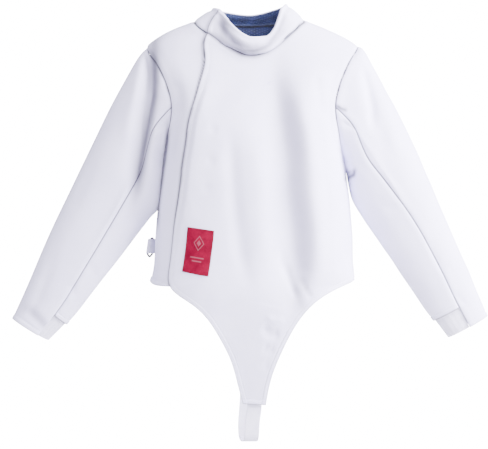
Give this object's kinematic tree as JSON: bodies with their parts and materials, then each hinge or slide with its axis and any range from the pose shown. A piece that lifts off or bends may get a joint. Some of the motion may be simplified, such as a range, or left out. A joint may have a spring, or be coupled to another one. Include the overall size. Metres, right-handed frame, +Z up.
{
  "type": "fencing jacket",
  "caption": "Hollow, filled-out fencing jacket with stand collar, side-closing front flap, two-piece sleeves, cut-away front ending in a groin point and a crotch strap.",
  "frame": {"origin": "middle of the neck opening, level with the shoulders' neck points, where the wearer holds the jacket up", "axes": "+Z up, the jacket's front towards -Y, the wearer's left towards +X"},
  "size_m": [0.9725, 0.2213, 0.8899],
  "materials": {
    "jacket_cloth": "white dense woven cloth, matt",
    "elastic": "white ribbed elastic and webbing, matt",
    "lining": "navy lining cloth, matt",
    "label": "crimson woven label, matt",
    "ring": "dark satin steel wire"
  },
  "bodies": {
    "root": {"front_panel": "jacket_cloth", "side_front_panel": "jacket_cloth", "back_panel": "jacket_cloth", "collar": "jacket_cloth", "collar_lining": "lining", "back_neck_lining": "lining", "label": "label", "left_sleeve_upper": "jacket_cloth", "left_sleeve_under": "jacket_cloth", "left_cuff_insert": "elastic", "right_sleeve_upper": "jacket_cloth", "right_sleeve_under": "jacket_cloth", "right_cuff_insert": "elastic", "crotch_strap": "elastic", "side_tab": "elastic", "side_ring": "ring"}
  },
  "joints": []
}
